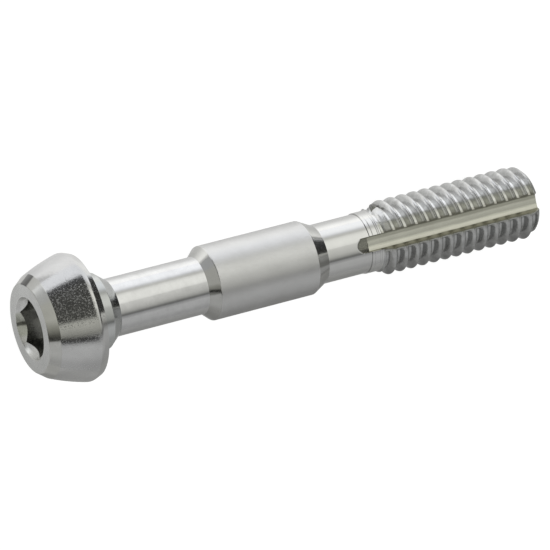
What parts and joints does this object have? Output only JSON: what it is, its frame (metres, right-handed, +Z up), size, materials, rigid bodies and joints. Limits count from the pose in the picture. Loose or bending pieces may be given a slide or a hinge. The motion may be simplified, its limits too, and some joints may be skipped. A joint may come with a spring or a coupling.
{
  "type": "banjo bolt",
  "caption": "Slim banjo bolt lying on its side: cone head with hex socket, thin shank, fitted collar, waist and an M6 thread with one long fluid groove.",
  "frame": {"origin": "middle of the footprint, on the surface that the bolt lies on", "axes": "+X along the bolt from head to tip, level; +Z up. The bolt's own axis dips 3.2 degrees towards the tip, because it rests on the head's rim and the last thread crests. The fluid groove faces up, as the bolt rolls to by itself."},
  "size_m": [0.0432, 0.01, 0.0101],
  "materials": {
    "steel": "bright turned and polished, satin collar, rolled thread"
  },
  "bodies": {
    "root": {"banjo_bolt": "steel"}
  },
  "joints": []
}
